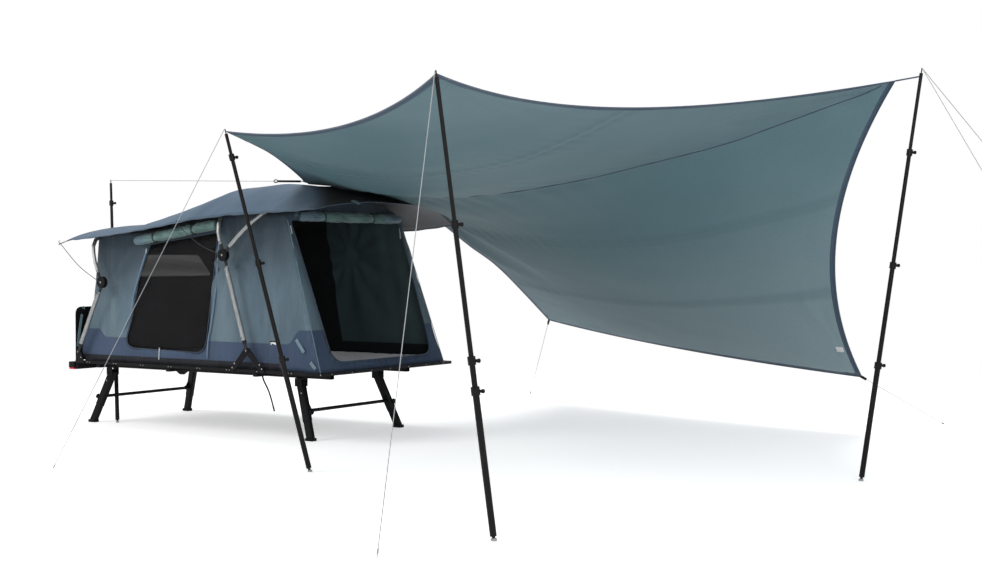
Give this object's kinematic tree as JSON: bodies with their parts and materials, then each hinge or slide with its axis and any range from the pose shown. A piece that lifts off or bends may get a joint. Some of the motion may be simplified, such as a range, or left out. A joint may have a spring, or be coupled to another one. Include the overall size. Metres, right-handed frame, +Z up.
{
  "type": "pop-up tent on a folding chassis with a tarp awning",
  "caption": "A tent on a folding chassis with splayed telescopic legs, a folding hoop frame under a fly, and a tarp awning held up by leaning telescopic poles and guy lines.",
  "frame": {"origin": "on the ground, in the middle of the base's outline, guy lines left out", "axes": "X runs along the tent toward its door and the tarp, Y away from the window side, Z up"},
  "size_m": [7.374, 6.8787, 2.3795],
  "materials": {
    "black": "satin black coat",
    "board": "matt black board",
    "plastic": "fine matt texture",
    "lens": "clear red",
    "alu": "satin anodised",
    "wall_cloth": "plain weave",
    "fly_cloth": "coated weave",
    "roll_cloth": "plain weave",
    "mesh_cloth": "fine mesh",
    "mattress_cloth": "soft knit",
    "tarp_cloth": "coated weave with seams",
    "white_cord": "braided cord",
    "black_cord": "webbing and elastic"
  },
  "bodies": {
    "base": {"chassis_left": "black", "chassis_right": "black", "deck_rim": "black", "v_bracket_near": "black", "v_bracket_far": "black", "end_bracket_near": "black", "end_bracket_far": "black", "pole_0_upper": "black", "pole_1_upper": "black", "pole_2_upper": "black", "pole_3_upper": "black", "deck_board": "board", "end_panel": "plastic", "lamp_near": "plastic", "lamp_far": "plastic", "lens_near": "lens", "lens_far": "lens", "tent_body": "wall_cloth", "fly": "fly_cloth", "window_roll": "roll_cloth", "door_roll": "roll_cloth", "window_screen": "mesh_cloth", "mattress": "mattress_cloth", "tarp": "tarp_cloth", "guy_ridge": "white_cord", "guy_pole_1": "white_cord", "guy_pole_2": "white_cord", "guy_back": "white_cord", "guy_wall": "white_cord", "guy_out_far": "white_cord", "guy_out_near": "white_cord", "tarp_strap": "black_cord", "pull_strap": "black_cord", "elastic_left": "black_cord", "elastic_mid": "black_cord"},
    "legs_left": {"leg_frame_left": "black"},
    "foot_left_near": {"leg_slide_left_near": "black"},
    "knob_left_near": {"leg_knob_left_near": "plastic"},
    "foot_left_far": {"leg_slide_left_far": "black"},
    "knob_left_far": {"leg_knob_left_far": "plastic"},
    "legs_right": {"leg_frame_right": "black"},
    "foot_right_near": {"leg_slide_right_near": "black"},
    "knob_right_near": {"leg_knob_right_near": "plastic"},
    "foot_right_far": {"leg_slide_right_far": "black"},
    "knob_right_far": {"leg_knob_right_far": "plastic"},
    "arch_mid": {"lower_tube_mid_near": "alu", "lower_tube_mid_far": "alu", "hub_mid_near": "plastic", "hub_mid_far": "plastic"},
    "hoop_mid": {"hoop_mid": "alu"},
    "hoop_door": {"hoop_door": "alu"},
    "arch_left": {"lower_tube_left_near": "alu", "lower_tube_left_far": "alu", "hub_left_near": "plastic", "hub_left_far": "plastic"},
    "hoop_left": {"hoop_left": "alu"},
    "pole_foot_0": {"pole_0_lower": "black"},
    "pole_foot_1": {"pole_1_lower": "black"},
    "pole_foot_2": {"pole_2_lower": "black"},
    "pole_foot_3": {"pole_3_lower": "black"}
  },
  "joints": [
    {"name": "fold_legs_left", "type": "hinge", "parent": "base", "child": "legs_left", "pos_m": [-2.89982, 0.14755, 0.392], "axis": [0, 1, 0], "range_deg": [0, 73]},
    {"name": "extend_left_near", "type": "slide", "parent": "legs_left", "child": "foot_left_near", "axis": [0.3525, 0.1645, 0.9212], "range_m": [-0.05, 0.09]},
    {"name": "clamp_left_near", "type": "hinge", "parent": "legs_left", "child": "knob_left_near", "pos_m": [-3.0093, -0.33446, 0.19627], "axis": [-0.934, 0, 0.3574], "continuous": true},
    {"name": "extend_left_far", "type": "slide", "parent": "legs_left", "child": "foot_left_far", "axis": [0.3525, -0.1645, 0.9212], "range_m": [-0.05, 0.09]},
    {"name": "clamp_left_far", "type": "hinge", "parent": "legs_left", "child": "knob_left_far", "pos_m": [-3.0093, 0.62956, 0.19627], "axis": [-0.934, 0, 0.3574], "continuous": true},
    {"name": "fold_legs_right", "type": "hinge", "parent": "base", "child": "legs_right", "pos_m": [-0.95982, 0.14755, 0.392], "axis": [0, 1, 0], "range_deg": [0, 100]},
    {"name": "extend_right_near", "type": "slide", "parent": "legs_right", "child": "foot_right_near", "axis": [-0.3525, 0.1645, 0.9212], "range_m": [-0.05, 0.09]},
    {"name": "clamp_right_near", "type": "hinge", "parent": "legs_right", "child": "knob_right_near", "pos_m": [-0.85034, -0.33446, 0.19627], "axis": [0.934, 0, 0.3574], "continuous": true},
    {"name": "extend_right_far", "type": "slide", "parent": "legs_right", "child": "foot_right_far", "axis": [-0.3525, -0.1645, 0.9212], "range_m": [-0.05, 0.09]},
    {"name": "clamp_right_far", "type": "hinge", "parent": "legs_right", "child": "knob_right_far", "pos_m": [-0.85034, 0.62956, 0.19627], "axis": [0.934, 0, 0.3574], "continuous": true},
    {"name": "fold_frame", "type": "hinge", "parent": "base", "child": "arch_mid", "pos_m": [-1.17882, 0.14755, 0.64], "axis": [0, -1, 0], "range_deg": [0, 62], "deforming": ["tent_body", "fly", "window_screen", "window_roll", "door_roll", "elastic_left", "elastic_mid"]},
    {"name": "fold_hoop_mid", "type": "hinge", "parent": "arch_mid", "child": "hoop_mid", "pos_m": [-1.39582, 0.14755, 1.314], "axis": [0, -1, 0], "range_deg": [-5.15, 0]},
    {"name": "fold_hoop_door", "type": "hinge", "parent": "arch_mid", "child": "hoop_door", "pos_m": [-1.39582, 0.14755, 1.314], "axis": [0, -1, 0], "range_deg": [-94.24, 0]},
    {"name": "fold_arch_left", "type": "hinge", "parent": "base", "child": "arch_left", "pos_m": [-2.91482, 0.14755, 0.572], "axis": [0, -1, 0], "range_deg": [-50.03, 0]},
    {"name": "fold_hoop_left", "type": "hinge", "parent": "arch_left", "child": "hoop_left", "pos_m": [-2.64682, 0.14755, 1.109], "axis": [0, -1, 0], "range_deg": [0, 97.96]},
    {"name": "telescope_0", "type": "slide", "parent": "base", "child": "pole_foot_0", "axis": [-0.2646, 0.2136, 0.9404], "range_m": [0, 0.45]},
    {"name": "telescope_1", "type": "slide", "parent": "base", "child": "pole_foot_1", "axis": [-0.2026, -0.1266, 0.9711], "range_m": [0, 0.45]},
    {"name": "telescope_2", "type": "slide", "parent": "base", "child": "pole_foot_2", "axis": [-0.0604, -0.1269, 0.9901], "range_m": [0, 0.1]},
    {"name": "telescope_3", "type": "slide", "parent": "base", "child": "pole_foot_3", "axis": [0.1303, 0.0391, 0.9907], "range_m": [0, 0.45]}
  ],
  "couplings": [
    {"joint": "fold_hoop_mid", "follows": "fold_frame", "ratio": -0.083},
    {"joint": "fold_hoop_door", "follows": "fold_frame", "ratio": -1.52},
    {"joint": "fold_arch_left", "follows": "fold_frame", "ratio": -0.807},
    {"joint": "fold_hoop_left", "follows": "fold_frame", "ratio": 1.58}
  ]
}
